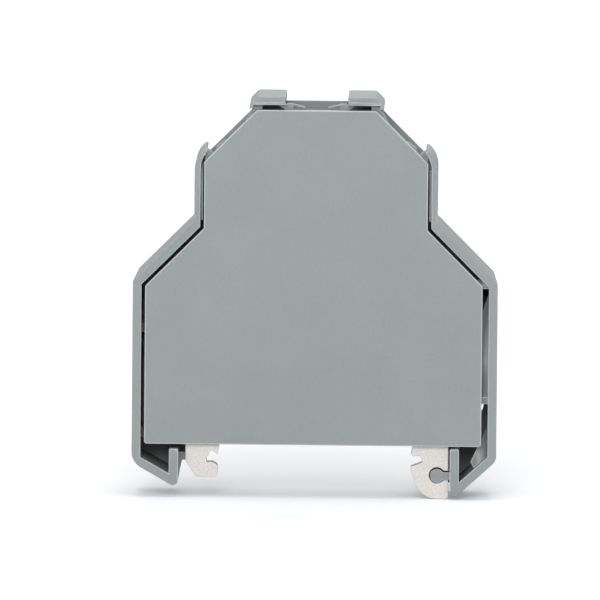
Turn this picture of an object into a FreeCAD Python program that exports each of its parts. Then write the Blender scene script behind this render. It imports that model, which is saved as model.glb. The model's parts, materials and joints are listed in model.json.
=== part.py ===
"""Screwless end stop for a 35 mm mounting rail.

A grey moulded housing, open at the front, is closed by a flat cover and holds two punched clamping
plates whose jaws grip the rail's edges. The right plate hangs on a knob of the release foot: a
screwdriver in the V of that foot pulls the foot outwards, and the plate lets go of the rail.

The frame: X across the rail, Z up from the rail's upper surface, Y along the rail, with the open
front of the housing towards -Y. The origin is on the rail's upper surface, on its centre line, in
the middle of the housing's width. Millimetres.
"""

import FreeCAD, Part
import math
import os
import re
import Sketcher

# Driving sizes by group, in millimetres or degrees: name, size, what it is.
SIZES = [
    # Housing
    ("depth", 14.0, "width of the stop along the rail"),
    ("back_wall", 1.0, "thickness of the back wall"),
    ("lower_half", 30.1, "half width over the lower walls"),
    ("upper_half", 20.05, "half width over the upper walls"),
    ("shoulder_height", 29.05, "height at which the lower walls turn inwards"),
    ("lower_wall", 1.45, "thickness of the lower walls, shoulders and feet"),
    ("upper_wall", 1.0, "thickness of the upper walls"),
    ("shoulder_round", 1.0, "rounding of the shoulders"),
    ("side_taper", 0.7, "distance by which the lower walls' outer sides draw in towards the back"),
    ("underside", 2.0, "height of the cover's and the housing's lower edge over the rail"),
    ("edge_round", 0.15, "rounding of the housing's front edges"),
    # Feet
    ("left_foot_angle", 29.4, "slope of the left foot below the horizontal"),
    ("left_foot_top", -0.25, "height at which the left wall turns into the foot, inside"),
    ("left_leg", 22.41, "distance of the left leg's rail side from the centre"),
    ("left_leg_top", 1.2, "height of the left leg"),
    ("left_heel_round", 3.0, "rounding of the left foot's outer corner"),
    ("right_foot_angle", 42.2, "slope of the release foot below the horizontal"),
    ("right_foot_top", 0.3, "height at which the right wall turns into the foot, inside"),
    ("right_leg", 22.45, "distance of the release leg's rail side from the centre"),
    ("right_leg_top", 1.55, "height of the release leg"),
    ("right_heel_round", 1.9, "rounding of the release foot's outer corner"),
    ("leg_wall", 1.5, "thickness of both legs"),
    ("toe_round", 0.85, "rounding of both feet's tips"),
    ("leg_round", 0.25, "rounding of the legs' top corners"),
    # Side hooks
    ("hook_height", 47.5, "height at which the upper walls start to curl inwards"),
    ("hook_radius", 4.4, "outer radius of the side hooks"),
    ("hook_rise", 3.5, "rise of a hook from the start of its curl to its tip"),
    ("hook_tip_wall", 0.55, "thickness of a hook at its tip"),
    ("hook_tip_round", 0.2, "rounding of a hook's tip"),
    # Top tabs
    ("tab_rise", 2.15, "rise of the tabs over the cover's flat top"),
    ("tab_wall", 0.9, "thickness of the tabs"),
    ("tab_step", 0.45, "height of the step under a tab"),
    ("tab_step_setback", 0.25, "distance of that step behind the tab's front"),
    ("tab_inner", 5.15, "distance of a tab's inner end from the centre"),
    ("tab_flat", 9.75, "distance at which the tab's top starts to slope down"),
    ("tab_lip", 11.1, "distance of the tab's outer lip"),
    ("tab_lip_drop", 1.95, "drop of the outer lip below the tab's top"),
    ("tab_round", 0.9, "rounding of a tab's sloped end"),
    ("stem_outer", 10.5, "outer side of the wall that carries the tab's outer end"),
    ("stem_wall", 1.5, "thickness of that wall"),
    ("gusset_reach", 1.25, "reach of the gusset beside that wall"),
    ("gusset_head", 0.35, "reach of the gusset at its top"),
    ("gusset_drop", 0.2, "drop of the gusset's top below the cover's flat top"),
    ("gusset_fall", 1.65, "fall of the gusset's slanted edge"),
    # Marker slots and socket
    ("deck_height", 57.5, "height of the cover's flat top"),
    ("deck_half", 9.8, "half width of that flat top, from which diagonals fall at 45 degrees"),
    ("back_rise", 0.4, "rise of the back wall's flat top over the cover's"),
    ("slot_floor", 46.0, "height of the floor of the marker slots"),
    ("floor_wall", 1.0, "thickness of floors and inner walls"),
    ("socket_half", 3.9, "half width of the snap-in socket"),
    ("socket_wall", 0.9, "thickness of the socket's side walls"),
    ("socket_drop", 1.5, "drop of the side walls below the cover's flat top"),
    ("riser_rise", 1.0, "rise of their front risers over that flat top"),
    ("brace_reach", 1.3, "reach of a riser's slanted brace under the tab"),
    ("brace_drop", 0.3, "drop of the brace's foot below the cover's flat top"),
    ("tongue_reach", 2.0, "reach of a sloped tongue into the socket"),
    ("tongue_drop", 0.5, "fall of a tongue towards the middle"),
    ("tongue_wall", 0.3, "thickness of a tongue"),
    ("tongue_width", 0.6, "width of a tongue along the rail"),
    ("slot_rib_width", 1.2, "width of risers and slot ribs along the rail"),
    ("slot_rib_place", 15.0, "distance of the ribs in the marker slots from the centre"),
    ("slot_rib_wall", 1.45, "thickness of those ribs"),
    ("slot_rib_rise", 0.45, "rise of those ribs over the marker diagonal"),
    ("end_rib_gap", 0.75, "gap between a slot's end rib and the upper wall"),
    ("end_rib_wall", 1.2, "thickness of an end rib"),
    ("end_rib_rise", 1.4, "rise of an end rib over the marker diagonal"),
    ("ledge_reach", 0.38, "reach of the ledge inside an upper wall"),
    ("ledge_setback", 0.6, "distance of that ledge behind the cover"),
    # Cover
    ("cover_wall", 1.2, "thickness of the cover"),
    ("cover_gap", 0.6, "gap between the cover and the rim"),
    ("release_gap", 1.05, "wider gap beside the wall that flexes"),
    ("cover_round", 0.5, "rounding of the cover's corners"),
    ("cover_edge_round", 0.2, "rounding of the cover's front edges"),
    ("cover_pin_radius", 1.25, "radius of the cover's pins"),
    ("cover_pin_length", 3.5, "length of the cover's pins"),
    ("pin_clearance", 0.05, "clearance round a pin in its hole"),
    ("boss_wall", 1.0, "wall round the hole of a cover boss"),
    ("lower_pins_across", 10.0, "distance of the lower cover pins from the centre"),
    ("lower_pins_height", 8.0, "height of the lower cover pins"),
    ("upper_pins_across", 13.0, "distance of the upper cover pins from the centre"),
    ("upper_pins_height", 40.5, "height of the upper cover pins"),
    ("seat_clearance", 0.1, "clearance between pieces that lie face to face"),
    # Rail and clamping plates
    ("rail_half", 17.5, "half width of the rail"),
    ("rail_wall", 1.0, "thickness of the rail's edge"),
    ("plate_wall", 2.5, "thickness of both clamping plates"),
    ("plate_top", 13.0, "height of both plates behind the cover"),
    ("plate_edge_break", 0.12, "chamfer of the punched edges"),
    ("plate_corner_round", 0.5, "rounding of the plates' lower corners"),
    ("lip_reach", 1.6, "reach of the jaws over and under the rail's edge"),
    ("bite_gap", 0.35, "gap between the rail's edge and the bottom of a jaw"),
    ("over_gap", 0.2, "gap between the rail and the lip above it"),
    ("under_gap", 0.1, "gap between the rail and the jaw under it"),
    ("jaw_flare", 0.45, "flare of the lower jaw towards its mouth"),
    ("jaw_relief", 0.65, "hollow above the rail in the left jaw"),
    ("fixed_inner", 15.56, "distance of the left plate's inner edge"),
    ("fixed_outer", 21.24, "distance of the left plate's outer edge"),
    ("fixed_bottom", -3.57, "height of the left plate's lower edge"),
    ("fixed_slope_top", -0.85, "height at which the left plate's outer edge turns inwards"),
    ("fixed_slope_foot", 19.45, "distance at which that slope meets the lower edge"),
    ("fixed_hole_across", 18.4, "distance of the left plate's holes"),
    ("fixed_hole_low", 4.5, "height of the left plate's lower hole"),
    ("fixed_hole_high", 10.0, "height of the left plate's upper hole"),
    ("plate_pin_radius", 1.25, "radius of the pins through the left plate"),
    ("plate_boss_radius", 2.1, "radius of the bosses that the plates rest on"),
    ("sprung_inner", 16.26, "distance of the right plate's inner edge"),
    ("sprung_outer", 22.22, "distance of the right plate's outer edge"),
    ("lobe_radius", 3.85, "radius of the right plate's lower lobe about the knob"),
    ("lobe_angle", 8.0, "angle below the horizontal at which the lobe leaves its round"),
    ("lead_in_height", -2.2, "height at which the jaw's front runs into the lobe"),
    # Knob
    ("knob_across", 20.34, "distance of the knob's centre"),
    ("knob_height", -3.0, "height of the knob's centre"),
    ("knob_radius", 1.14, "radius of the knob"),
    ("knob_clearance", 0.19, "clearance between knob and keyhole"),
    ("keyhole_lift", 0.08, "height of the keyhole's centre over the knob's"),
    ("knob_foot_radius", 2.0, "radius of the disc behind the knob"),
    ("knob_foot_wall", 1.0, "thickness of that disc and its web"),
    ("knob_foot_drop", 1.4, "drop of that web's lower edge below the knob's centre"),
    ("neck_half", 0.6, "half height of the neck between knob and leg"),
    ("mouth_clearance", 0.17, "clearance between neck and the keyhole's mouth"),
    ("plate_swing", 2.0, "angle by which the right plate can rock on its knob"),
    ("guide_clearance", 0.15, "clearance between the rocking plate and its guides"),
    ("guide_length", 5.0, "height of the guides beside the plate's top"),
    # Webs beside the cover
    ("web_setback", 2.6, "distance of the webs behind the rim's front"),
    ("web_wall", 1.0, "thickness of the webs"),
    ("foot_web_top", 6.9, "height of the release foot's web at the wall"),
    ("foot_web_knee", 25.84, "distance of that web's knee from the centre"),
    ("foot_web_knee_height", -0.79, "height of that knee"),
    ("wall_web_top", 27.3, "height of the right wall's web at the wall"),
    ("wall_web_low", 10.2, "height of that web's lower end"),
    ("wall_web_reach", 2.0, "reach of that web from the wall"),
    ("rib_wall", 1.2, "thickness of the ribs that cross the cover's gap"),
    ("rib_reach", 2.6, "reach of those ribs from the wall"),
    ("right_rib", 9.0, "height of the right rib's underside"),
    ("left_rib_low", 3.05, "height of the lower left rib's underside"),
    ("left_rib_high", 20.5, "height of the upper left rib's underside"),
    ("corner_rest_height", 28.1, "height of the underside of the rest in the right shoulder"),
    ("corner_rest_wall", 1.5, "width of that rest"),
    ("window_radius", 2.5, "radius of the round window in the back wall"),
    ("window_inset", 3.25, "distance of the window from the wall"),
    ("window_height", 7.75, "height of the window"),
    ("foot_brace_top", 0.2, "height of the brace between the left leg and the plate's bosses"),
    ("foot_brace_wall", 1.25, "thickness of that brace"),
    ("leg_taper", 0.6, "reach of the left leg's tapered rib at its top"),
]

# Sizes that follow from the driving ones.
DERIVED = {
    "front": "-depth / 2",
    "back": "depth / 2",
    "back_face": "depth / 2 - back_wall",
    "cover_back": "cover_wall - depth / 2",
    "inner_lower": "lower_half - lower_wall",
    "inner_upper": "upper_half - upper_wall",
    "shoulder_sum": "lower_half + shoulder_height",
    "inner_sum": "shoulder_sum - sqrt(2) * lower_wall",
    "cover_sum": "inner_sum - sqrt(2) * cover_gap",
    "left_heel": "left_foot_top - lower_wall * tan((90 - left_foot_angle) / 2)",
    "right_heel": "right_foot_top - lower_wall * tan((90 - right_foot_angle) / 2)",
    "left_toe": "left_heel - (lower_half - left_leg) * tan(left_foot_angle)",
    "right_toe": "right_heel - (lower_half - right_leg) * tan(right_foot_angle)",
    "tab_top": "deck_height + tab_rise",
    "tab_under": "tab_top - tab_wall - tab_step",
    "marker_sum": "deck_height + deck_half",
    "back_top": "deck_height + back_rise",
    "riser_top": "deck_height + riser_rise",
    "socket_outer": "socket_half + socket_wall",
    "slot_rib_outer": "slot_rib_place + slot_rib_wall",
    "end_rib_outer": "inner_upper - end_rib_gap",
    "floor_half": "inner_upper - cover_gap - seat_clearance",
    "end_rib_top": "marker_sum - end_rib_outer + end_rib_rise",
    "slot_rib_back": "behind_cover + slot_rib_width",
    "hook_turn": "sqrt(1 - (hook_rise / hook_radius) ^ 2)",
    "hook_tip_radius": "hook_radius - hook_tip_wall",
    "hook_tip_outer": "upper_half - hook_radius * (1 - hook_turn)",
    "hook_tip_inner": "upper_half - hook_radius + hook_tip_radius * hook_turn",
    "hook_tip_under": "hook_height + hook_rise * hook_tip_radius / hook_radius",
    "behind_cover": "cover_back + seat_clearance",
    "plate_front": "behind_cover",
    "plate_back": "plate_front + plate_wall",
    "boss_top": "plate_back + seat_clearance",
    "knob_foot_back": "boss_top + knob_foot_wall",
    "keyhole_height": "knob_height + keyhole_lift",
    "keyhole_radius": "knob_radius + knob_clearance",
    "mouth_half": "neck_half + mouth_clearance",
    "guide_gap": "(plate_top - knob_height) * tan(plate_swing) + guide_clearance",
    "plate_pin_room": "plate_pin_radius + pin_clearance",
    "web_front": "web_setback - depth / 2",
    "rib_in_wall": "inner_lower + lower_wall / 2",
    "pin_hole_radius": "cover_pin_radius + pin_clearance",
    "lip_end": "rail_half - lip_reach",
    "jaw_floor": "-rail_wall - under_gap",
    "lobe_bottom": "knob_height - lobe_radius",
}

NAMES = {name for name, size, note in SIZES}

doc = FreeCAD.newDocument("end_stop")


def fill_sheet():
    """Write every driving size to the sheet: its note, its number and its name as alias."""
    sheet = doc.addObject("Spreadsheet::Sheet", "sizes")
    for row, (name, size, note) in enumerate(SIZES, 1):
        sheet.set(f"A{row}", note)
        sheet.set(f"B{row}", str(size))
        sheet.setAlias(f"B{row}", name)
    doc.recompute()
    return sheet


def bound(formula):
    """Return a formula with its sizes written as cells of the sheet."""
    def cell(match):
        word = match.group()
        if word in NAMES:
            return "sizes." + word
        if word in DERIVED:
            return "(" + bound(DERIVED[word]) + ")"
        return word
    return re.sub(r"[a-z_]+", cell, formula)


sheet = fill_sheet()


def worth(formula):
    """Return the number that a formula gives with the sheet's sizes."""
    return float(sheet.evalExpression(bound(formula)))


def mirrored(outline):
    """Return an outline on the other side of the centre line, its corners in reverse order.

    Reversing a path and mirroring it each swap left and right, so a bend keeps its sign. It moves
    to the corner at which the reversed path enters it.
    """
    flipped = []
    for index, (across, height, *bend) in enumerate(outline):
        bend = outline[index - 1][2:]
        flipped.append((f"-({across})", height, *bend))
    return flipped[::-1]


def bend_between(start, end, radius, turn):
    """Return the arc of less than half a turn from start to end, which curves left if turn is 1."""
    chord = end - start
    middle = (start + end) * 0.5
    left = FreeCAD.Vector(-chord.y, chord.x, 0) / chord.Length
    rise = math.sqrt(radius ** 2 - (chord.Length / 2) ** 2)
    return Part.Arc(start, middle + left * turn * (rise - radius), end)


def sketch_at(body, name, depth_place):
    """Return an empty front-view sketch of a body at a place along the rail."""
    sketch = body.newObject("Sketcher::SketchObject", name)
    plane = [item for item in body.Origin.OriginFeatures if item.Role == "XZ_Plane"][0]
    sketch.AttachmentSupport = [(plane, "")]
    sketch.MapMode = "FlatFace"
    sketch.setExpression("AttachmentOffset.Base.z", bound(f"-({depth_place})"))
    return sketch


def tie(sketch, kind, parts, formula):
    """Add a dimension to a sketch and bind it to a formula."""
    index = sketch.addConstraint(Sketcher.Constraint(kind, *parts, worth(formula)))
    sketch.setExpression(f"Constraints[{index}]", bound(formula))


def draw(sketch, outline):
    """Draw a closed outline: corners (across, height), each with an optional signed bend radius.

    The bend is the arc from that corner to the next: "+" curves left and "-" curves right.
    """
    places = [FreeCAD.Vector(worth(corner[0]), worth(corner[1]), 0) for corner in outline]
    starts = []
    ends = []
    first = sketch.GeometryCount
    for index, corner in enumerate(outline):
        here = places[index]
        there = places[(index + 1) % len(places)]
        if len(corner) == 2:
            sketch.addGeometry(Part.LineSegment(here, there), False)
            starts.append(1)
            ends.append(2)
            continue
        turn = 1 if corner[2][0] == "+" else -1
        sketch.addGeometry(bend_between(here, there, worth(corner[2][1:]), turn), False)
        starts.append(1 if turn == 1 else 2)
        ends.append(2 if turn == 1 else 1)
    for index, corner in enumerate(outline):
        after = (index + 1) % len(outline)
        sketch.addConstraint(Sketcher.Constraint(
            "Coincident", first + index, ends[index], first + after, starts[after]))
        tie(sketch, "DistanceX", (first + index, starts[index]), corner[0])
        tie(sketch, "DistanceY", (first + index, starts[index]), corner[1])
        if len(corner) == 3:
            tie(sketch, "Radius", (first + index,), corner[2][1:])


def draw_circle(sketch, across, height, radius):
    """Draw a circle in a sketch."""
    centre = FreeCAD.Vector(worth(across), worth(height), 0)
    index = sketch.addGeometry(Part.Circle(centre, FreeCAD.Vector(0, 0, 1), worth(radius)), False)
    tie(sketch, "DistanceX", (index, 3), across)
    tie(sketch, "DistanceY", (index, 3), height)
    tie(sketch, "Radius", (index,), radius)


def pad(body, name, sketch, near, far):
    """Raise a sketch that lies at far towards the front, up to near."""
    feature = body.newObject("PartDesign::Pad", name)
    feature.Profile = sketch
    feature.setExpression("Length", bound(f"({far}) - ({near})"))
    sketch.Visibility = False
    return feature


def slab(body, name, near, far, *outlines):
    """Raise closed outlines between two places along the rail."""
    sketch = sketch_at(body, name + "_outline", far)
    for outline in outlines:
        draw(sketch, outline)
    return pad(body, name, sketch, near, far)


def studs(body, name, near, far, circles):
    """Raise round studs (across, height, radius) between two places along the rail."""
    sketch = sketch_at(body, name + "_circles", far)
    for circle in circles:
        draw_circle(sketch, *circle)
    return pad(body, name, sketch, near, far)


def holes(body, name, near, far, circles):
    """Cut round holes (across, height, radius) from near to far, and check that they cut."""
    doc.recompute()
    before = body.Shape.Volume
    sketch = sketch_at(body, name + "_circles", near)
    for circle in circles:
        draw_circle(sketch, *circle)
    feature = body.newObject("PartDesign::Pocket", name)
    feature.Profile = sketch
    feature.setExpression("Length", bound(f"({far}) - ({near})"))
    sketch.Visibility = False
    doc.recompute()
    if not body.Shape.Volume < before:
        raise RuntimeError(f"{name} cuts nothing")
    return feature


def dress(body, name, chosen, kind):
    """Add a fillet or chamfer feature on the edges of a body for which chosen(edge) is true."""
    doc.recompute()
    tip = body.Tip
    edges = [f"Edge{index}" for index, edge in enumerate(tip.Shape.Edges, 1) if chosen(edge)]
    if not edges:
        raise RuntimeError(f"{name} finds no edge")
    feature = body.newObject(kind, name)
    feature.Base = (tip, edges)
    return feature


def round_edges(body, name, chosen, radius):
    """Round the edges of a body for which chosen(edge) is true."""
    feature = dress(body, name, chosen, "PartDesign::Fillet")
    feature.setExpression("Radius", bound(radius))


def break_edges(body, name, chosen, size):
    """Chamfer the edges of a body for which chosen(edge) is true."""
    feature = dress(body, name, chosen, "PartDesign::Chamfer")
    feature.setExpression("Size", bound(size))


def along_rail(places):
    """Return a test for straight edges along the rail at any of the places (across, height)."""
    spots = [(worth(across), worth(height)) for across, height in places]

    def chosen(edge):
        return any(all(math.hypot(end.X - x, end.Z - z) < 1e-3 for end in edge.Vertexes)
                   for x, z in spots)
    return chosen


def at_depth(place):
    """Return a test for edges that lie flat at a place along the rail."""
    level = worth(place)

    def chosen(edge):
        return all(abs(vertex.Y - level) < 1e-4 for vertex in edge.Vertexes)
    return chosen


def above(place):
    """Return a test for edges that lie higher than a place."""
    level = worth(place) - 1e-4

    def chosen(edge):
        return all(vertex.Z > level for vertex in edge.Vertexes)
    return chosen


def clear_of(height, across):
    """Return a test for edges that lie neither at a height nor at a distance from the centre."""
    level = worth(height)
    reach = worth(across)

    def chosen(edge):
        flat = all(abs(vertex.Z - level) < 1e-4 for vertex in edge.Vertexes)
        upright = all(abs(abs(vertex.X) - reach) < 1e-4 for vertex in edge.Vertexes)
        return not flat and not upright
    return chosen


def passing(*tests):
    """Return a test for edges that pass all the given tests."""
    def chosen(edge):
        return all(test(edge) for test in tests)
    return chosen


def box(left, right, low, high):
    """Return the outline of a rectangle."""
    return [(left, low), (right, low), (right, high), (left, high)]


# Outlines of the right half of the rim and its feet. The left half is their mirror image with
# the left foot's own sizes.
def rim(side):
    """Return the outline of a side's foot, walls, shoulder and hook, drawn on the right."""
    leg, leg_top = f"{side}_leg", f"{side}_leg_top"
    pocket = f"({leg} + leg_wall)"
    pocket_low = f"{side}_foot_top - (inner_lower - {pocket}) * tan({side}_foot_angle)"
    return [
        (leg, f"{side}_toe"),
        ("lower_half", f"{side}_heel"),
        ("lower_half", "shoulder_height"),
        ("upper_half", "shoulder_sum - upper_half"),
        ("upper_half", "hook_height", "+hook_radius"),
        ("hook_tip_outer", "hook_height + hook_rise"),
        ("hook_tip_inner", "hook_tip_under", "-hook_radius"),
        ("inner_upper", "hook_height"),
        ("inner_upper", "inner_sum - inner_upper"),
        ("inner_lower", "inner_sum - inner_lower"),
        ("inner_lower", f"{side}_foot_top"),
        (pocket, pocket_low),
        (pocket, leg_top),
        (leg, leg_top),
    ]


def back_half(side):
    """Return one half of the back wall's outline, from the foot up to the flat top."""
    return [
        (f"{side}_leg", "underside"),
        (f"{side}_leg", f"{side}_toe"),
        ("lower_half", f"{side}_heel"),
        ("lower_half", "shoulder_height"),
        ("upper_half", "shoulder_sum - upper_half"),
        ("upper_half", "hook_height"),
        ("inner_upper", "marker_sum - inner_upper"),
        ("marker_sum - back_top", "back_top"),
    ]


# The tab's section: flat top, sloped outer end with its lip, and the stem that carries it.
TAB = [
    ("tab_inner", "tab_top - tab_wall"),
    ("stem_outer", "tab_top - tab_wall"),
    ("stem_outer", "tab_top - tab_lip_drop"),
    ("tab_lip", "tab_top - tab_lip_drop"),
    ("tab_lip", "tab_top - tab_lip + tab_flat"),
    ("tab_flat", "tab_top"),
    ("tab_inner", "tab_top"),
]
TAB_STEP = box("tab_inner", "stem_outer", "tab_under", "tab_top - tab_wall")
STEM = box("stem_outer - stem_wall", "stem_outer", "slot_floor", "tab_top - tab_wall")
TOP_FLOOR = box("-floor_half", "floor_half", "slot_floor - floor_wall", "slot_floor")
SOCKET_SIDE = box("socket_half", "socket_outer", "slot_floor", "deck_height - socket_drop")
# The front riser of the socket's side wall, with the slanted brace up to the tab's inner end.
RISER = [
    ("socket_half", "slot_floor"),
    ("socket_outer", "slot_floor"),
    ("socket_outer", "deck_height - brace_drop"),
    ("tab_inner + brace_reach", "tab_under"),
    ("tab_inner", "tab_under"),
    ("socket_outer", "riser_top"),
    ("socket_half", "riser_top"),
]
TONGUE = [
    ("socket_half", "riser_top - tongue_wall"),
    ("socket_half", "riser_top"),
    ("socket_half - tongue_reach", "riser_top - tongue_drop"),
    ("socket_half - tongue_reach", "riser_top - tongue_drop - tongue_wall"),
]
# The slanted gusset beside a stem, and the two ribs further out in the marker slot.
GUSSET = [
    ("stem_outer", "slot_floor"),
    ("stem_outer + gusset_reach", "slot_floor"),
    ("stem_outer + gusset_reach", "deck_height - gusset_drop - gusset_fall"),
    ("stem_outer + gusset_head", "deck_height - gusset_drop"),
    ("stem_outer", "deck_height - gusset_drop"),
]
SLOT_RIB = [
    ("slot_rib_place", "slot_floor"),
    ("slot_rib_outer", "slot_floor"),
    ("slot_rib_outer", "marker_sum - slot_rib_outer + slot_rib_rise"),
    ("slot_rib_outer - slot_rib_rise / 2", "marker_sum - slot_rib_outer + 3 * slot_rib_rise / 2"),
    ("slot_rib_place", "marker_sum - slot_rib_place + slot_rib_rise / 4"),
]
END_RIB = [
    ("end_rib_outer - end_rib_wall", "slot_floor"),
    ("end_rib_outer", "slot_floor"),
    ("end_rib_outer", "end_rib_top"),
    ("end_rib_outer - end_rib_wall / 4", "end_rib_top + end_rib_wall / 2"),
    ("end_rib_outer - end_rib_wall", "end_rib_top"),
]
LEDGE = box("inner_upper - ledge_reach", "inner_upper + upper_wall / 2",
            "inner_sum - inner_upper + upper_wall", "hook_height")
UNDERSIDE_WALL = box("-fixed_inner + guide_clearance", "sprung_inner - guide_gap",
                     "underside", "underside + floor_wall")
NECK = box("knob_across", "right_leg + leg_wall / 2", "knob_height - neck_half",
           "knob_height + neck_half")
# The web of the release leg that carries the knob from behind, and the wedges outside the walls.
KNOB_WEB = box("knob_across", "right_leg + leg_round", "knob_height - knob_foot_drop", "right_leg_top")
SIDE_WEDGE = [
    ("lower_half", "front + edge_round"),
    ("lower_half + side_taper", "back + side_taper"),
    ("lower_half - side_taper", "back + edge_round"),
]
# The webs that show in the gap beside the cover and in the release foot, drawn on the right.
FOOT_WEB = [
    ("rib_in_wall", "foot_web_top"),
    ("foot_web_knee", "foot_web_knee_height"),
    ("foot_web_knee + lower_wall / 2", "foot_web_knee_height - lower_wall"),
    ("rib_in_wall", "right_foot_top - lower_wall / 2"),
]
WALL_WEB = [
    ("rib_in_wall", "wall_web_low"),
    ("rib_in_wall", "wall_web_top"),
    ("inner_lower", "wall_web_top"),
    ("inner_lower - wall_web_reach", "wall_web_top - 3 * wall_web_reach"),
    ("inner_lower - wall_web_reach", "wall_web_low"),
]
CORNER_REST = [
    ("inner_lower - corner_rest_wall", "corner_rest_height"),
    ("rib_in_wall", "corner_rest_height"),
    ("rib_in_wall", "inner_sum - inner_lower"),
    ("rib_in_wall - corner_rest_wall", "inner_sum - inner_lower + corner_rest_wall"),
    ("inner_lower - 2 * corner_rest_wall", "inner_sum - inner_lower + corner_rest_wall / 2"),
]
# The brace from the left leg to the post under the left plate's boss, with the leg's tapered rib.
FOOT_BRACE = [
    ("fixed_hole_across - floor_wall / 2", "foot_brace_top - foot_brace_wall"),
    ("left_leg - leg_taper", "foot_brace_top - foot_brace_wall"),
    ("left_leg", "left_toe + 2 * toe_round"),
    ("left_leg + leg_wall / 2", "left_toe + 2 * toe_round"),
    ("left_leg + leg_wall / 2", "foot_brace_top"),
    ("fixed_hole_across + floor_wall / 2", "foot_brace_top"),
    ("fixed_hole_across + floor_wall / 2", "fixed_hole_low"),
    ("fixed_hole_across - floor_wall / 2", "fixed_hole_low"),
]
GUIDE_FLOOR = "plate_top - guide_length"
GUIDES = (
    box("sprung_inner - guide_gap - floor_wall", "sprung_inner - guide_gap", GUIDE_FLOOR, "plate_top"),
    box("sprung_outer + guide_gap", "sprung_outer + guide_gap + floor_wall", GUIDE_FLOOR, "plate_top"),
)


def rib(height):
    """Return the outline of a rib that crosses the cover's gap."""
    return box("inner_lower - rib_reach", "rib_in_wall", height, f"{height} + rib_wall")


def cover_pins(radius):
    """Return the circles of the cover's four pins or of their bosses and holes."""
    circles = []
    for level in ("lower", "upper"):
        for across in (f"{level}_pins_across", f"-{level}_pins_across"):
            circles.append((across, f"{level}_pins_height", radius))
    return circles


def fixed_plate_circles(radius):
    """Return the circles of the two places where the left plate is held."""
    return [("-fixed_hole_across", height, radius) for height in ("fixed_hole_low", "fixed_hole_high")]


def round_rim(body):
    """Round the rim's corners, and then the front edges of the rim."""
    round_edges(body, "shoulder_rounds", along_rail([
        ("lower_half", "shoulder_height"), ("-lower_half", "shoulder_height")]), "shoulder_round")
    round_edges(body, "left_heel_rounds", along_rail([("-lower_half", "left_heel")]), "left_heel_round")
    round_edges(body, "right_heel_rounds", along_rail([("lower_half", "right_heel")]), "right_heel_round")
    round_edges(body, "toe_rounds", along_rail([
        ("-left_leg", "left_toe"), ("right_leg", "right_toe")]), "toe_round")
    round_edges(body, "leg_rounds", along_rail([
        ("-left_leg", "left_leg_top"), ("-left_leg - leg_wall", "left_leg_top"),
        ("right_leg", "right_leg_top"), ("right_leg + leg_wall", "right_leg_top")]), "leg_round")
    round_edges(body, "hook_tip_rounds", along_rail([
        (f"{side}{across}", height) for side in ("", "-") for across, height in (
            ("hook_tip_outer", "hook_height + hook_rise"), ("hook_tip_inner", "hook_tip_under"))]),
        "hook_tip_round")
    round_edges(body, "front_rounds", at_depth("front"), "edge_round")


def taper_sides(body):
    """Cut a wedge from the outer side of each lower wall, so that it draws in towards the back."""
    sketch = body.newObject("Sketcher::SketchObject", "side_wedges")
    plane = [item for item in body.Origin.OriginFeatures if item.Role == "XY_Plane"][0]
    sketch.AttachmentSupport = [(plane, "")]
    sketch.MapMode = "FlatFace"
    sketch.setExpression("AttachmentOffset.Base.z", bound("shoulder_sum"))
    draw(sketch, SIDE_WEDGE)
    draw(sketch, mirrored(SIDE_WEDGE))
    feature = body.newObject("PartDesign::Pocket", "side_tapers")
    feature.Profile = sketch
    feature.setExpression("Length", bound("shoulder_sum - left_toe - right_toe"))
    sketch.Visibility = False


def plate_rests(radius):
    """Return the circles of the bosses behind both plates."""
    middle = "(sprung_inner + sprung_outer) / 2"
    behind_right = [(middle, height, radius) for height in ("fixed_hole_low", "fixed_hole_high")]
    return fixed_plate_circles(radius) + behind_right


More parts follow.
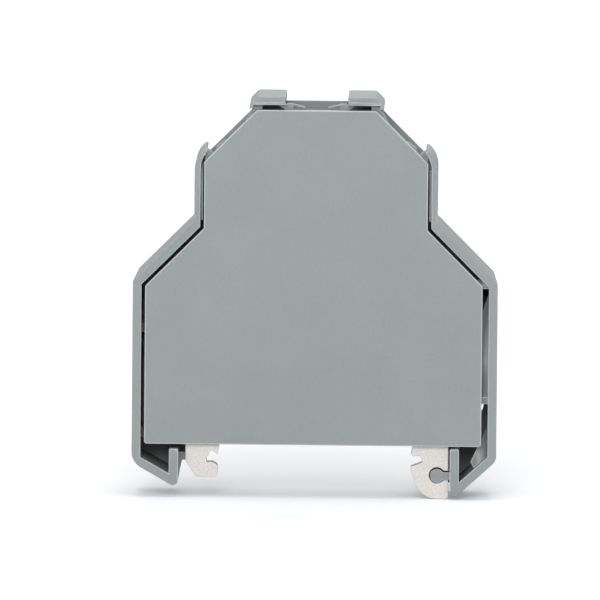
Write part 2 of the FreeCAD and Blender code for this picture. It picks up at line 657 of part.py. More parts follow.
def make_housing():
    """The moulding: back wall, rim, feet, hooks, tabs, socket, webs, bosses and the knob."""
    body = doc.addObject("PartDesign::Body", "housing")
    slab(body, "back_plate", "back_face", "back", back_half("right") + mirrored(back_half("left")))
    slab(body, "rim_walls", "front", "back", rim("right"), mirrored(rim("left")))
    round_rim(body)
    taper_sides(body)
    slab(body, "stems", "behind_cover", "back", STEM, mirrored(STEM))
    slab(body, "tabs", "front", "back", TAB, mirrored(TAB))
    round_edges(body, "tab_rounds", along_rail([
        (f"{side}{across}", height) for side in ("", "-") for across, height in (
            ("tab_flat", "tab_top"), ("tab_lip", "tab_top - tab_lip + tab_flat"))]), "tab_round")
    round_edges(body, "tab_edge_rounds", passing(
        at_depth("front"), above("deck_height"), clear_of("tab_top - tab_wall", "stem_outer")),
        "edge_round")
    slab(body, "tab_steps", "front + tab_step_setback", "back", TAB_STEP, mirrored(TAB_STEP))
    slab(body, "floors", "behind_cover", "back_face", TOP_FLOOR, UNDERSIDE_WALL)
    slab(body, "ledges", "cover_back + ledge_setback", "back_face", LEDGE, mirrored(LEDGE))
    slab(body, "ribs", "behind_cover", "back_face", CORNER_REST, rib("right_rib"),
         mirrored(rib("left_rib_low")), mirrored(rib("left_rib_high")))
    slab(body, "guides", "behind_cover", "back_face", *GUIDES)
    slab(body, "socket_sides", "behind_cover", "back_face", SOCKET_SIDE, mirrored(SOCKET_SIDE))
    slab(body, "risers", "behind_cover", "slot_rib_back", RISER, mirrored(RISER))
    slab(body, "tongues", "behind_cover", "behind_cover + tongue_width", TONGUE, mirrored(TONGUE))
    slab(body, "slot_ribs", "behind_cover", "slot_rib_back", GUSSET, SLOT_RIB, END_RIB,
         mirrored(GUSSET), mirrored(SLOT_RIB), mirrored(END_RIB))
    slab(body, "webs", "web_front", "web_front + web_wall", FOOT_WEB, WALL_WEB)
    slab(body, "foot_brace", "boss_top", "back_face", mirrored(FOOT_BRACE))
    studs(body, "plate_bosses", "boss_top", "back_face", plate_rests("plate_boss_radius"))
    studs(body, "plate_pins", "behind_cover", "boss_top", fixed_plate_circles("plate_pin_radius"))
    studs(body, "cover_bosses", "behind_cover", "back_face", cover_pins("pin_hole_radius + boss_wall"))
    holes(body, "cover_pin_holes", "behind_cover", "cover_back + cover_pin_length + seat_clearance",
          cover_pins("pin_hole_radius"))
    holes(body, "window", "back_face", "back", [
        ("inner_lower - window_inset", "window_height", "window_radius")])
    studs(body, "knob", "plate_front", "plate_back", [("knob_across", "knob_height", "knob_radius")])
    slab(body, "neck", "plate_front", "plate_back", NECK)
    studs(body, "knob_foot", "plate_back", "knob_foot_back", [
        ("knob_across", "knob_height", "knob_radius")])
    studs(body, "knob_disc", "boss_top", "knob_foot_back", [
        ("knob_across", "knob_height", "knob_foot_radius")])
    slab(body, "knob_web", "boss_top", "knob_foot_back", KNOB_WEB)
    return body


def make_cover():
    """The flat cover: its outline keeps the named gaps to the rim, and four pins stand behind."""
    body = doc.addObject("PartDesign::Body", "front_cover")
    right = [
        ("inner_lower - release_gap", "underside"),
        ("inner_lower - release_gap", "cover_sum - inner_lower + release_gap"),
        ("inner_upper - cover_gap", "cover_sum - inner_upper + cover_gap"),
        ("inner_upper - cover_gap", "marker_sum - inner_upper + cover_gap"),
        ("deck_half", "deck_height"),
    ]
    left = [
        ("inner_lower - cover_gap", "underside"),
        ("inner_lower - cover_gap", "cover_sum - inner_lower + cover_gap"),
    ] + right[2:]
    corners = right + mirrored(left)
    slab(body, "plate", "front", "cover_back", corners)
    studs(body, "pins", "cover_back", "cover_back + cover_pin_length", cover_pins("cover_pin_radius"))
    round_edges(body, "corner_rounds", along_rail(corners), "cover_round")
    round_edges(body, "front_rounds", at_depth("front"), "cover_edge_round")
    return body


def make_fixed_plate():
    """The left clamping plate: a jaw round the rail's edge and two holes for the housing's pins."""
    body = doc.addObject("PartDesign::Body", "fixed_clamp_plate")
    outline = [
        ("fixed_inner", "plate_top"),
        ("fixed_inner", "underside"),
        ("lip_end", "over_gap"),
        ("lip_end + 2 * lip_reach / 3", "over_gap + jaw_relief"),
        ("rail_half", "0"),
        ("rail_half + bite_gap", "-rail_wall / 3"),
        ("rail_half + bite_gap / 2", "jaw_floor"),
        ("lip_end + lip_reach / 2", "jaw_floor"),
        ("lip_end", "jaw_floor - jaw_flare"),
        ("lip_end", "fixed_bottom"),
        ("fixed_slope_foot", "fixed_bottom"),
        ("fixed_outer", "fixed_slope_top"),
        ("fixed_outer", "plate_top"),
    ]
    slab(body, "plate", "plate_front", "plate_back", mirrored(outline))
    holes(body, "pin_holes", "plate_front", "plate_back", fixed_plate_circles("plate_pin_room"))
    round_edges(body, "corner_rounds", along_rail([
        ("-lip_end", "fixed_bottom"), ("-fixed_slope_foot", "fixed_bottom")]), "plate_corner_round")
    break_edges(body, "broken_edges", at_depth("plate_front"), "plate_edge_break")
    return body


def make_sprung_plate():
    """The right clamping plate: jaw, rounded lead-in and the keyhole that hangs on the knob."""
    body = doc.addObject("PartDesign::Body", "sprung_clamp_plate")
    mouth = "knob_across + sqrt(keyhole_radius ^ 2 - mouth_half ^ 2)"
    outline = [
        ("sprung_outer", "plate_top"),
        ("sprung_inner", "plate_top"),
        ("sprung_inner", "underside"),
        ("lip_end + under_gap", "over_gap + jaw_relief / 2"),
        ("lip_end + jaw_flare", "over_gap"),
        ("rail_half", "over_gap"),
        ("rail_half + bite_gap", "-rail_wall / 3", "-bite_gap"),
        ("rail_half + bite_gap / 2", "-rail_wall + under_gap"),
        ("rail_half - bite_gap", "jaw_floor"),
        ("lip_end + under_gap", "jaw_floor - jaw_flare"),
        ("lip_end + under_gap", "lead_in_height"),
        ("knob_across - lobe_radius * cos(lobe_angle)",
         "knob_height - lobe_radius * sin(lobe_angle)", "+lobe_radius"),
        ("knob_across", "lobe_bottom"),
        ("sprung_outer", "lobe_bottom"),
        ("sprung_outer", "keyhole_height - mouth_half"),
        (mouth, "keyhole_height - mouth_half", "-keyhole_radius"),
        ("knob_across - keyhole_radius", "keyhole_height", "-keyhole_radius"),
        (mouth, "keyhole_height + mouth_half"),
        ("sprung_outer", "keyhole_height + mouth_half"),
    ]
    slab(body, "plate", "plate_front", "plate_back", outline)
    round_edges(body, "corner_rounds", along_rail([("sprung_outer", "lobe_bottom")]), "plate_corner_round")
    break_edges(body, "broken_edges", at_depth("plate_front"), "plate_edge_break")
    return body


def check(bodies):
    """Stop if anything in the document failed or a piece is not one valid solid."""
    for item in doc.Objects:
        if "Invalid" in item.State or "Error" in item.State:
            raise RuntimeError(f"{item.Name} failed: {item.State}")
    for body in bodies:
        shape = body.Shape
        if shape.isNull() or not shape.isValid() or len(shape.Solids) != 1:
            raise RuntimeError(f"{body.Label} is not one valid solid")


bodies = [make_housing(), make_cover(), make_fixed_plate(), make_sprung_plate()]
doc.recompute()
check(bodies)
os.makedirs("parts", exist_ok=True)
for body in bodies:
    body.Shape.exportStep(f"parts/{body.Label}.step")
    print(body.Label, round(body.Shape.Volume, 2), body.Shape.BoundBox)
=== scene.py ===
import json
import math
from contextlib import contextmanager

import bmesh
import bpy
from bpy.props import FloatProperty, FloatVectorProperty, PointerProperty
from mathutils import Matrix, Vector
from mathutils.bvhtree import BVHTree

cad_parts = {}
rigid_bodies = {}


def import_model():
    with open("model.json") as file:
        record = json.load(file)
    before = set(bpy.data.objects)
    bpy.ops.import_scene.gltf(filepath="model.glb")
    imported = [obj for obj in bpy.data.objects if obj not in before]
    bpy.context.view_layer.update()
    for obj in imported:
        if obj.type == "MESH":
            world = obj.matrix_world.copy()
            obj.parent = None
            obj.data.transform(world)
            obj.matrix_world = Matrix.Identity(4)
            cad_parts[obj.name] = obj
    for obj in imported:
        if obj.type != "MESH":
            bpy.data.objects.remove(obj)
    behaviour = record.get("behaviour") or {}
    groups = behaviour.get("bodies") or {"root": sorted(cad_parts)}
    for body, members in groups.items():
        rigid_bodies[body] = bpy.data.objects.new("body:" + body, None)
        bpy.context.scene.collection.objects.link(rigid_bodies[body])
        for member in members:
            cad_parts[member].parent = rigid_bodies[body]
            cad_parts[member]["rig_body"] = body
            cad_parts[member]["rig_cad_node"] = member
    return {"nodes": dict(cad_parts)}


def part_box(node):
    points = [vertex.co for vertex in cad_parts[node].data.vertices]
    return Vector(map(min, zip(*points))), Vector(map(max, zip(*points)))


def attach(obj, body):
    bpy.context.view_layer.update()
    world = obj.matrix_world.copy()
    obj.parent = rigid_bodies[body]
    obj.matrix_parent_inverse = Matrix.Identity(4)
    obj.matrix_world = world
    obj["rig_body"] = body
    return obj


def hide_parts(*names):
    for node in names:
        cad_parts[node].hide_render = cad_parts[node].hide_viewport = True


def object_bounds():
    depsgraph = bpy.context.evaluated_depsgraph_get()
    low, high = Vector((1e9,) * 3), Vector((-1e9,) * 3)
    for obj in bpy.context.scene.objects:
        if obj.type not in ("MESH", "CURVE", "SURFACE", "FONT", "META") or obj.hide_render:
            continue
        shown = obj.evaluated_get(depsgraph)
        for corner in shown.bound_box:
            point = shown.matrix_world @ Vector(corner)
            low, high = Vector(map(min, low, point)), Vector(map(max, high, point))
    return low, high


bl_info = {
    "name": "Rail End Stop",
    "version": (1, 0, 0),
    "blender": (4, 5, 0),
    "location": "View3D > Sidebar > End Stop",
    "description": "Finishes the pieces of a screwless rail end stop and sets its stage",
    "category": "Object",
}

MM = 0.001

# Making a copy of a solid ready
WELD = 0.002 * MM          # corners closer than this become one
FLAT = math.radians(0.5)   # neighbouring faces that turn less than this become one
SHARP = math.radians(40)   # outer edges that turn more than this are rounded,
ROOM = 2.5                 # if the edges beside them are longer than this many bevel widths
SLIVER = 0.001 * MM        # faces narrower than this are dissolved after the rounding
SMOOTH = math.radians(35)  # neighbouring faces that turn less than this are shaded as one

# Two corners of the box round the rear end of the brace's top beside the left leg, and its lift
BRACE_END = (Vector((-22.5, 5.9, 0.15)) * MM, Vector((-18.8, 6.1, 0.25)) * MM)
BRACE_LIFT = 0.8 * MM

# The face attribute that holds the painted highlight on rounded edges, with its strength on each
# kind of piece. A face counts as rounded if the part of its normal along Y lies between the two
# slopes.
ROUND_HIGHLIGHT = "painted_round_highlight"
HOUSING_HIGHLIGHT = 0.9
COVER_HIGHLIGHT = 0.6
PLATE_HIGHLIGHT = 0.8
ROUND_SLOPES = (0.15, 0.98)
OFF_FACE = 0.02 * MM       # the look across a gap starts this far off its own face

# The painted highlight on sharp edges: it grows while the cosine between soft and plain normal
# falls from first to last
MASK_COSINES = (0.985, 0.90)
MASK_TOP = 0.5

# The moulding compound
SPOT_SUM = (0.6, 1.4)      # where the sum of both spot patterns lies
# Painted shade: the colour darkens between these two levels of openness, deep in gaps
GAP_OPEN = (0.2, 0.9)      # openness of a surface deep in a gap, and of one outside
ROUGH_CHANGE = 0.08        # change of the roughness with the grain, up and down
GRAIN_HEIGHT = 0.02 * MM

# The plating
MOTTLE_SPAN = (0.35, 0.65)   # where the spot pattern lies
MOTTLE_TONES = (0.90, 1.09)  # shares of the colour in its dark and light spots
MOTTLE_TWIST = 0.3
MOTTLE_HEIGHT = 0.03 * MM

# Lamps: place and width in metres. All of them look at the part's middle.
LAMP_AIM = Vector((0.0, 0.0, 0.025))
KEY_LAMP = ((-0.1, -1.6, 0.65), 0.7)
TOP_LAMP = ((0.0, -0.2, 1.7), 0.8)
BACK_LAMP = ((0.2, 1.2, 1.3), 1.4)

# The floor: its glow for the camera grows with the distance from the part in metres, and shrinks
# where the part stands over it, seen from a floor point upwards and forwards. Both paint a soft
# shadow of the part into the glow, bluish from the glow's colour.
FLOOR_RADIUS = 6.0
FLOOR_GAP = 0.05 * MM
FLOOR_WHITE = (0.92, 0.92, 0.93, 1.0)
FLOOR_ROUGHNESS = 0.9
GLOW_WHITE = (0.95, 0.97, 1.0, 1.0)
GLOW_DISTANCE = (0.05, 1.2)
GLOW_LEVEL = (0.42, 0.62)
SHADOW_REACH = 70 * MM
SHADOW_LOOK = {"Y": -0.84, "Z": 0.54}
SHADOW_OPEN = (0.5, 1.0)
SHADOW_LEVEL = (0.42, 1.0)

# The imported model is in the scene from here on.
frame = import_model()
cad_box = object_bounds()


class EndStopMoulding(bpy.types.PropertyGroup):
    """Sizes and colours of the moulded pieces."""

    grey: FloatVectorProperty(
        name="Grey", description="Colour of the moulding compound", subtype="COLOR",
        size=4, min=0.0, max=1.0, default=(0.352, 0.381, 0.381, 1.0))
    tone: FloatProperty(
        name="Tone", description="Share by which the colour gets darker and lighter in spots",
        subtype="FACTOR", min=0.0, max=1.0, default=0.065)
    cloud: FloatProperty(
        name="Cloud", description="Size of the large spots",
        subtype="DISTANCE", unit="LENGTH", min=0.1 * MM, default=9 * MM)
    speck: FloatProperty(
        name="Speck", description="Size of the small spots",
        subtype="DISTANCE", unit="LENGTH", min=0.1 * MM, default=0.5 * MM)
    # Painted highlight: a lighter colour on edges that stands in for the light they catch
    highlight_grey: FloatVectorProperty(
        name="Edge Grey", description="Colour of the lighter edges", subtype="COLOR",
        size=4, min=0.0, max=1.0, default=(0.86, 0.92, 0.91, 1.0))
    highlight_reach: FloatProperty(
        name="Edge Reach", description="Reach of the lighter edges",
        subtype="DISTANCE", unit="LENGTH", min=0.0, default=0.30 * MM)
    # Painted shade: how far and how much the colour darkens in gaps and pockets, where shade falls
    painted_shade_reach: FloatProperty(
        name="Cavity", description="Reach of the shade in gaps and pockets",
        subtype="DISTANCE", unit="LENGTH", min=0.0, default=6.0 * MM)
    painted_shade_tone: FloatProperty(
        name="Cavity Tone", description="Share of the colour's brightness left deep in a gap",
        subtype="FACTOR", min=0.0, max=1.0, default=0.85)
    roughness: FloatProperty(
        name="Roughness", description="Roughness of the spark-eroded mould surface",
        subtype="FACTOR", min=0.0, max=1.0, default=0.55)
    grain: FloatProperty(
        name="Grain", description="Size of the mould's surface grain",
        subtype="DISTANCE", unit="LENGTH", min=0.01 * MM, default=0.18 * MM)
    grain_strength: FloatProperty(
        name="Grain Strength", description="Strength of the surface grain",
        subtype="FACTOR", min=0.0, max=1.0, default=0.12)
    edge: FloatProperty(
        name="Edge", description="Width of the rounded edges that no fillet of the solid has",
        subtype="DISTANCE", unit="LENGTH", min=0.0, default=0.07 * MM)


class EndStopPlating(bpy.types.PropertyGroup):
    """Sizes and colours of the punched clamping plates."""

    silver: FloatVectorProperty(
        name="Silver", description="Colour of the matte plating", subtype="COLOR",
        size=4, min=0.0, max=1.0, default=(0.80, 0.77, 0.735, 1.0))
    # Painted highlight on the rounded punched edges
    highlight_silver: FloatVectorProperty(
        name="Edge Silver", description="Colour of the lighter punched edges", subtype="COLOR",
        size=4, min=0.0, max=1.0, default=(0.95, 0.93, 0.90, 1.0))
    mottle: FloatProperty(
        name="Mottle", description="Size of the plating's spots",
        subtype="DISTANCE", unit="LENGTH", min=0.01 * MM, default=0.26 * MM)
    mottle_strength: FloatProperty(
        name="Mottle Strength", description="Strength of the plating's uneven surface",
        subtype="FACTOR", min=0.0, max=1.0, default=0.3)
    metal: FloatProperty(
        name="Metal", description="Share of metal in the matte plating",
        subtype="FACTOR", min=0.0, max=1.0, default=0.3)
    roughness: FloatProperty(
        name="Roughness", description="Roughness of the plating",
        subtype="FACTOR", min=0.0, max=1.0, default=0.60)
    edge: FloatProperty(
        name="Edge", description="Width of the rounded punched edges",
        subtype="DISTANCE", unit="LENGTH", min=0.0, default=0.05 * MM)


class EndStopStage(bpy.types.PropertyGroup):
    """Camera, floor and light."""

    azimuth: FloatProperty(
        name="Azimuth", description="Camera's turn about the part, seen from above",
        subtype="ANGLE", unit="ROTATION", default=math.radians(0.85))
    elevation: FloatProperty(
        name="Elevation", description="Camera's height above the horizon",
        subtype="ANGLE", unit="ROTATION", default=math.radians(6.02))
    roll: FloatProperty(
        name="Roll", description="Camera's turn about its own view",
        subtype="ANGLE", unit="ROTATION", default=math.radians(0.5))
    distance: FloatProperty(
        name="Distance", description="Distance of the camera from the rail seat",
        subtype="DISTANCE", unit="LENGTH", min=0.1, default=2.5)
    field: FloatProperty(
        name="Field", description="Width of the picture at the part's front",
        subtype="DISTANCE", unit="LENGTH", min=0.01, default=99.01 * MM)
    right: FloatProperty(
        name="Right", description="Distance of the rail seat to the right of the picture's middle",
        subtype="DISTANCE", unit="LENGTH", default=2.376 * MM)
    below: FloatProperty(
        name="Below", description="Distance of the rail seat below the picture's middle",
        subtype="DISTANCE", unit="LENGTH", default=25.26 * MM)
    key: FloatProperty(
        name="Key", description="Power of the large lamp above the camera",
        subtype="POWER", unit="POWER", min=0.0, default=12.1)
    top: FloatProperty(
        name="Top", description="Power of the lamp above the part",
        subtype="POWER", unit="POWER", min=0.0, default=6.0)
    back: FloatProperty(
        name="Back", description="Power of the lamp behind the part",
        subtype="POWER", unit="POWER", min=0.0, default=8.0)
    sky: FloatProperty(
        name="Sky", description="Strength of the even light from all sides",
        min=0.0, default=0.28)


def select_only(piece):
    """Deselect everything else and make a piece the active object."""
    bpy.ops.object.select_all(action="DESELECT")
    piece.select_set(True)
    bpy.context.view_layer.objects.active = piece


def apply_modifier(piece, kind, **settings):
    """Add a modifier to a piece with the given settings and apply it."""
    select_only(piece)
    bpy.ops.object.modifier_add(type=kind)
    modifier = piece.modifiers[-1]
    for key, value in settings.items():
        setattr(modifier, key, value)
    bpy.ops.object.modifier_apply(modifier=modifier.name)


@contextmanager
def whole_mesh(piece):
    """Hold a piece in edit mode with all of it selected."""
    select_only(piece)
    bpy.ops.object.mode_set(mode="EDIT")
    bpy.ops.mesh.select_all(action="SELECT")
    yield
    bpy.ops.object.mode_set(mode="OBJECT")


def raise_brace(piece):
    """Lift the rear end of the brace beside the left leg, so that no light shows over it."""
    low, high = BRACE_END
    for vertex in piece.data.vertices:
        if all(least < part < most for least, part, most in zip(low, vertex.co, high)):
            vertex.co.z += BRACE_LIFT


def weigh_edges(piece, width):
    """Give a full bevel weight to the sharp outer edges that have room for a bevel."""
    mesh = bmesh.new()
    mesh.from_mesh(piece.data)
    weight = mesh.edges.layers.float.new("bevel_weight_edge")
    for edge in mesh.edges:
        if len(edge.link_faces) != 2 or edge.calc_face_angle_signed(0.0) < SHARP:
            continue
        beside = [other.edge for corner in edge.link_loops
                  for other in (corner.link_loop_prev, corner.link_loop_next)]
        if min(other.calc_length() for other in beside) > ROOM * width:
            edge[weight] = 1.0
    mesh.to_mesh(piece.data)
    mesh.free()


def keep_inside(piece, low, high):
    """Pull the corners that the rounding pushed past a box back onto it."""
    for vertex in piece.data.vertices:
        vertex.co = [sorted(parts)[1] for parts in zip(low, vertex.co, high)]


def dressed_copy(node, name, edge, body, reshape=None):
    """Return a welded copy of a CAD node with rounded sharp edges, in place of the node."""
    select_only(frame["nodes"][node])
    bpy.ops.object.duplicate(linked=False)
    piece = bpy.context.active_object
    piece.name = name
    # The copy is a piece of its own and no longer the node
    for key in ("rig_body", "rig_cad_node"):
        if key in piece:
            del piece[key]
    with whole_mesh(piece):
        bpy.ops.mesh.remove_doubles(threshold=WELD)
        bpy.ops.mesh.dissolve_limited(angle_limit=FLAT)
    if reshape:
        reshape(piece)
    weigh_edges(piece, edge)
    apply_modifier(piece, "BEVEL", width=edge, segments=2, limit_method="WEIGHT",
                   harden_normals=False, use_clamp_overlap=False)
    keep_inside(piece, *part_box(node))
    with whole_mesh(piece):
        bpy.ops.mesh.dissolve_degenerate(threshold=SLIVER)
    bpy.ops.object.shade_smooth_by_angle(angle=SMOOTH)
    apply_modifier(piece, "WEIGHTED_NORMAL", mode="FACE_AREA", keep_sharp=True)
    piece.data.materials.clear()
    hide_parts(node)
    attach(piece, body)
    return piece


def front_walls():
    """Return a search tree of the housing and the cover as the CAD gives them."""
    points = []
    faces = []
    for node in ("housing", "front_cover"):
        mesh = frame["nodes"][node].data
        faces += [[len(points) + corner for corner in face.vertices] for face in mesh.polygons]
        points += [vertex.co.copy() for vertex in mesh.vertices]
    return BVHTree.FromPolygons(points, faces)


def paint_round_highlights(piece, strength, walls=None):
    """Mark a painted highlight on rounded faces up to the cover's top, and with walls only on
    those that look at one.
    """
    mesh = piece.data
    cover_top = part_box("front_cover")[1].z
    marks = mesh.attributes.new(ROUND_HIGHLIGHT, "FLOAT", "FACE")
    least, most = ROUND_SLOPES
    for face in mesh.polygons:
        if not least < abs(face.normal.y) < most or face.center.z > cover_top:
            continue
        across = Vector((face.normal.x, 0.0, face.normal.z)).normalized()
        start = face.center + face.normal * OFF_FACE
        if walls is None or walls.ray_cast(start, across)[0] is not None:
            marks.data[face.index].value = strength


def toned(colour, share):
    """Return a colour with its brightness multiplied, up to white."""
    return [min(1.0, share * part) for part in colour[:3]] + [1.0]


class Nodes:
    """A material's node tree, with short calls to add and join nodes."""

    def __init__(self, name):
        self.material = bpy.data.materials.new(name)
        self.material.use_nodes = True
        self.tree = self.material.node_tree
        self.shader = self.tree.nodes["Principled BSDF"]
        self.output = self.tree.nodes["Material Output"]

    def fill(self, node, inputs):
        """Set inputs of a node: numbers, colours or other sockets."""
        for key, value in inputs.items():
            if isinstance(value, bpy.types.NodeSocket):
                self.tree.links.new(value, node.inputs[key])
            else:
                node.inputs[key].default_value = value

    def add(self, kind, inputs=None, **settings):
        """Add a node, set its own settings and fill its inputs."""
        node = self.tree.nodes.new("ShaderNode" + kind)
        for key, value in settings.items():
            setattr(node, key, value)
        self.fill(node, inputs or {})
        return node

    def spread(self, value, old, new=(0.0, 1.0)):
        """Return a socket that takes a value's old range to a new one, and goes no further."""
        return self.add("MapRange", {
            "Value": value, "From Min": old[0], "From Max": old[1],
            "To Min": new[0], "To Max": new[1]}).outputs["Result"]

    def math(self, operation, first, second):
        """Return a socket with the result of an operation on two sockets."""
        return self.add("Math", {0: first, 1: second}, operation=operation).outputs["Value"]

    def spots(self, place, size, detail, twist=0.0):
        """Return a socket with a pattern of spots of about the given size."""
        return self.add("TexNoise", {"Vector": place, "Scale": 1 / size, "Detail": detail,
                                     "Distortion": twist}).outputs["Fac"]

    def mix(self, share, first, second):
        """Return a socket that runs from the first colour to the second."""
        inputs = {"Fac": share, "Color1": first, "Color2": second}
        return self.add("MixRGB", inputs).outputs["Color"]

    def bump(self, height, strength, distance):
        """Return a socket with the normal of an uneven surface."""
        inputs = {"Height": height, "Strength": strength, "Distance": distance}
        return self.add("Bump", inputs).outputs["Normal"]

    def openness(self, inputs):
        """Return a socket that is 1 in the open and falls where something is near."""
        return self.add("AmbientOcclusion", inputs, samples=8).outputs["AO"]


def sharp_edge_highlight(nodes, reach):
    """Return a socket for a painted highlight that is highest on edges and 0 from a reach on both
    sides of them.
    """
    soft = nodes.add("Bevel", {"Radius": reach}, samples=6).outputs["Normal"]
    plain = nodes.add("NewGeometry").outputs["True Normal"]
    same = nodes.add("VectorMath", {0: soft, 1: plain}, operation="DOT_PRODUCT").outputs["Value"]
    return nodes.spread(same, MASK_COSINES, (0.0, MASK_TOP))


def moulded_plastic(name, settings):
    """Return the grey polyamide of the moulded pieces: fine matte grain, painted shade in gaps and
    painted highlights on edges.
    """
    nodes = Nodes(name)
    place = nodes.add("TexCoord").outputs["Object"]
    cloud = nodes.spots(place, settings.cloud, detail=3.0)
    speck = nodes.spots(place, settings.speck, detail=3.0)
    grain = nodes.spots(place, settings.grain, detail=2.0)
    level = nodes.spread(nodes.math("ADD", cloud, speck), SPOT_SUM)
    colour = nodes.mix(level, toned(settings.grey, 1 - settings.tone),
                       toned(settings.grey, 1 + settings.tone))
    # Painted shade: the colour darkens deep in gaps and pockets, where shade falls
    open_air = nodes.openness({"Distance": settings.painted_shade_reach})
    shade = nodes.spread(open_air, GAP_OPEN, (settings.painted_shade_tone, 1.0))
    shaded = nodes.add("VectorMath", {0: colour, "Scale": shade}, operation="SCALE")
    # Painted highlight: the marked rounds and the sharp edges get a lighter colour
    rounds = nodes.add("Attribute", attribute_name=ROUND_HIGHLIGHT).outputs["Fac"]
    light = nodes.math("MAXIMUM", rounds, sharp_edge_highlight(nodes, settings.highlight_reach))
    nodes.fill(nodes.shader, {
        "Base Color": nodes.mix(light, shaded.outputs["Vector"], settings.highlight_grey),
        "Roughness": nodes.spread(grain, (0.0, 1.0), (settings.roughness - ROUGH_CHANGE,
                                                      settings.roughness + ROUGH_CHANGE)),
        "Normal": nodes.bump(grain, settings.grain_strength, GRAIN_HEIGHT),
        "Specular IOR Level": 0.5})
    return nodes.material


def matte_plating(name, settings):
    """Return the matte plating of the punched plates, mottled like shot-blasted metal, with a
    painted highlight on the rounded edges.
    """
    nodes = Nodes(name)
    place = nodes.add("TexCoord").outputs["Object"]
    mottle = nodes.spots(place, settings.mottle, detail=3.0, twist=MOTTLE_TWIST)
    dark, light = MOTTLE_TONES
    colour = nodes.mix(nodes.spread(mottle, MOTTLE_SPAN), toned(settings.silver, dark),
                       toned(settings.silver, light))
    # Painted highlight: the rounded punched edges get a lighter colour
    rounds = nodes.add("Attribute", attribute_name=ROUND_HIGHLIGHT).outputs["Fac"]
    nodes.fill(nodes.shader, {
        "Base Color": nodes.mix(rounds, colour, settings.highlight_silver),
        "Normal": nodes.bump(mottle, settings.mottle_strength, MOTTLE_HEIGHT),
        "Metallic": settings.metal,
        "Roughness": settings.roughness})
    return nodes.material


class ENDSTOP_OT_housing(bpy.types.Operator):
    """Dress the moulded housing"""

    bl_idname = "endstop.housing"
    bl_label = "Housing"
    bl_options = {"REGISTER", "UNDO"}

    def execute(self, context):
        settings = context.scene.endstop_moulding
        piece = dressed_copy("housing", "moulded_housing", settings.edge, "stop", raise_brace)
        paint_round_highlights(piece, HOUSING_HIGHLIGHT, front_walls())
        piece.data.materials.append(moulded_plastic("housing_grey", settings))
        return {"FINISHED"}


class ENDSTOP_OT_cover(bpy.types.Operator):
    """Dress the flat cover"""

    bl_idname = "endstop.cover"
    bl_label = "Cover"
    bl_options = {"REGISTER", "UNDO"}

    def execute(self, context):
        settings = context.scene.endstop_moulding
        piece = dressed_copy("front_cover", "flat_cover", settings.edge, "stop")
        paint_round_highlights(piece, COVER_HIGHLIGHT)
        piece.data.materials.append(moulded_plastic("cover_grey", settings))
        return {"FINISHED"}


class ENDSTOP_OT_clamping_plates(bpy.types.Operator):
    """Dress both clamping plates"""

    bl_idname = "endstop.clamping_plates"
    bl_label = "Clamping Plates"
    bl_options = {"REGISTER", "UNDO"}

    def execute(self, context):
        settings = context.scene.endstop_plating
        plating = matte_plating("matte_plating", settings)
        for node, name, body in (("fixed_clamp_plate", "left_jaw_plate", "stop"),
                                 ("sprung_clamp_plate", "right_jaw_plate", "sprung_plate")):
            piece = dressed_copy(node, name, settings.edge, body)
            paint_round_highlights(piece, PLATE_HIGHLIGHT)
            piece.data.materials.append(plating)
        return {"FINISHED"}


def camera_axes(azimuth, elevation, roll):
    """Return a camera's right, up and backward axes."""
    level = Vector((math.cos(azimuth), math.sin(azimuth), 0.0))
    behind = Vector((math.sin(azimuth), -math.cos(azimuth), 0.0))
    back = behind * math.cos(elevation) + Vector((0.0, 0.0, math.sin(elevation)))
    right = level * math.cos(roll) + back.cross(level) * math.sin(roll)
    return right, back.cross(right), back


def add_camera(settings):
    """Place the camera so that the rail seat lies where the settings say in the picture."""
    right, up, back = camera_axes(settings.azimuth, settings.elevation, settings.roll)
    middle = up * settings.below - right * settings.right
    bpy.ops.object.camera_add(location=middle + back * settings.distance)
    camera = bpy.context.active_object
    camera.name = "camera"
    camera.rotation_euler = Matrix((right, up, back)).transposed().to_euler()
    camera.data.sensor_width = 36.0
    to_front = settings.distance + cad_box[0].y
    camera.data.lens = camera.data.sensor_width * to_front / settings.field
    camera.data.clip_start = 0.1
    camera.data.clip_end = 20.0
    bpy.context.scene.camera = camera


def add_lamp(name, place, size, power):
    """Add a square soft lamp that looks at the part."""
    bpy.ops.object.light_add(type="AREA", location=place)
    lamp = bpy.context.active_object
    lamp.name = name
    lamp.data.size = size
    lamp.data.energy = power
    towards = LAMP_AIM - Vector(place)
    lamp.rotation_euler = towards.to_track_quat("-Z", "Y").to_euler()


def white_floor():
    """Return the floor's matte white: real shade, a glow for the camera, and a painted shadow in
    the glow.
    """
    nodes = Nodes("white_floor")
    place = nodes.add("TexCoord").outputs["Object"]
    # Painted shadow: the glow fades near the part and where the part stands over the floor, most
    # behind it
    reach = nodes.add("VectorMath", {0: place}, operation="LENGTH").outputs["Value"]
    look = nodes.add("CombineXYZ", SHADOW_LOOK).outputs["Vector"]
    open_air = nodes.openness({"Distance": SHADOW_REACH, "Normal": look})
    painted_shadow = nodes.spread(open_air, SHADOW_OPEN, SHADOW_LEVEL)
    level = nodes.math("MULTIPLY", nodes.spread(reach, GLOW_DISTANCE, GLOW_LEVEL), painted_shadow)
    ray = nodes.add("LightPath").outputs["Is Camera Ray"]
    glow = nodes.add("Emission", {
        "Color": GLOW_WHITE, "Strength": nodes.math("MULTIPLY", ray, level)})
    both = nodes.add("AddShader", {0: nodes.shader.outputs["BSDF"], 1: glow.outputs["Emission"]})
    nodes.tree.links.new(both.outputs["Shader"], nodes.output.inputs["Surface"])
    nodes.fill(nodes.shader, {
        "Base Color": FLOOR_WHITE, "Roughness": FLOOR_ROUGHNESS, "Specular IOR Level": 0.0})
    return nodes.material


def add_floor():
    """Add the white floor under the part."""
    bpy.ops.mesh.primitive_circle_add(vertices=96, radius=FLOOR_RADIUS, fill_type="NGON",
                                      location=(0.0, 0.0, cad_box[0].z - FLOOR_GAP))
    floor = bpy.context.active_object
    floor.name = "floor"
    floor.data.materials.append(white_floor())


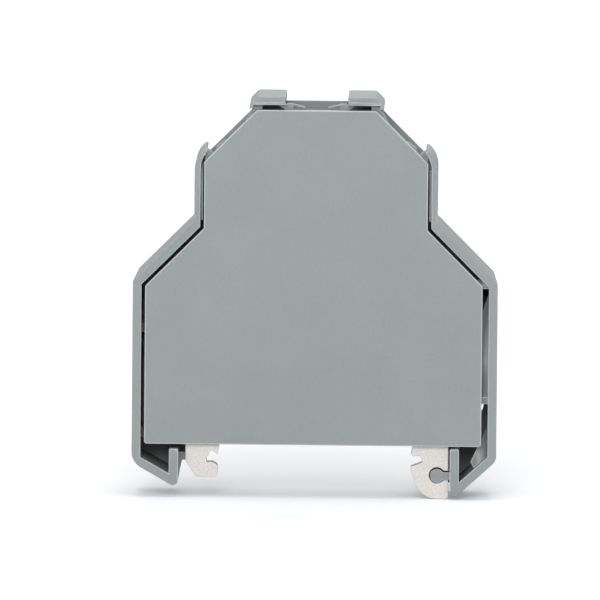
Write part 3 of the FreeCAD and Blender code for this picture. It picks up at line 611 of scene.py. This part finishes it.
def set_world(strength):
    """Light the part evenly from all sides, and show white where the world itself is seen."""
    world = bpy.data.worlds.new("studio")
    bpy.context.scene.world = world
    world.use_nodes = True
    tree = world.node_tree
    sky = tree.nodes["Background"]
    sky.inputs["Color"].default_value = (1.0, 1.0, 1.0, 1.0)
    ray = tree.nodes.new("ShaderNodeLightPath")
    seen = tree.nodes.new("ShaderNodeMath")
    seen.operation = "MAXIMUM"
    tree.links.new(ray.outputs["Is Camera Ray"], seen.inputs[0])
    tree.links.new(ray.outputs["Is Glossy Ray"], seen.inputs[1])
    level = tree.nodes.new("ShaderNodeMapRange")
    level.inputs["To Min"].default_value = strength
    level.inputs["To Max"].default_value = 1.0
    tree.links.new(seen.outputs["Value"], level.inputs["Value"])
    tree.links.new(level.outputs["Result"], sky.inputs["Strength"])


class ENDSTOP_OT_stage(bpy.types.Operator):
    """Set the floor, the light and the camera"""

    bl_idname = "endstop.stage"
    bl_label = "Stage"
    bl_options = {"REGISTER", "UNDO"}

    def execute(self, context):
        settings = context.scene.endstop_stage
        add_floor()
        add_lamp("key_lamp", *KEY_LAMP, settings.key)
        add_lamp("top_lamp", *TOP_LAMP, settings.top)
        add_lamp("back_lamp", *BACK_LAMP, settings.back)
        set_world(settings.sky)
        add_camera(settings)
        context.scene.view_settings.view_transform = "Standard"
        return {"FINISHED"}


OPERATORS = (ENDSTOP_OT_housing, ENDSTOP_OT_cover, ENDSTOP_OT_clamping_plates, ENDSTOP_OT_stage)


class ENDSTOP_PT_panel(bpy.types.Panel):
    """Pieces and stage of the rail end stop"""

    bl_idname = "ENDSTOP_PT_panel"
    bl_label = "End Stop"
    bl_space_type = "VIEW_3D"
    bl_region_type = "UI"
    bl_category = "End Stop"

    def draw(self, context):
        layout = self.layout
        for group in ("endstop_moulding", "endstop_plating", "endstop_stage"):
            settings = getattr(context.scene, group)
            column = layout.column(align=True)
            for name in settings.bl_rna.properties.keys():
                if name not in ("rna_type", "name"):
                    column.prop(settings, name)
        for operator in OPERATORS:
            layout.operator(operator.bl_idname)


CLASSES = (EndStopMoulding, EndStopPlating, EndStopStage, *OPERATORS, ENDSTOP_PT_panel)


def register():
    """Register the classes and hang their settings on the scene."""
    for item in CLASSES:
        bpy.utils.register_class(item)
    bpy.types.Scene.endstop_moulding = PointerProperty(type=EndStopMoulding)
    bpy.types.Scene.endstop_plating = PointerProperty(type=EndStopPlating)
    bpy.types.Scene.endstop_stage = PointerProperty(type=EndStopStage)


def unregister():
    """Take the settings off the scene and unregister the classes."""
    del bpy.types.Scene.endstop_stage
    del bpy.types.Scene.endstop_plating
    del bpy.types.Scene.endstop_moulding
    for item in reversed(CLASSES):
        bpy.utils.unregister_class(item)


def main():
    register()
    bpy.ops.endstop.housing()
    bpy.ops.endstop.cover()
    bpy.ops.endstop.clamping_plates()
    bpy.ops.endstop.stage()


if __name__ == "__main__":
    main()
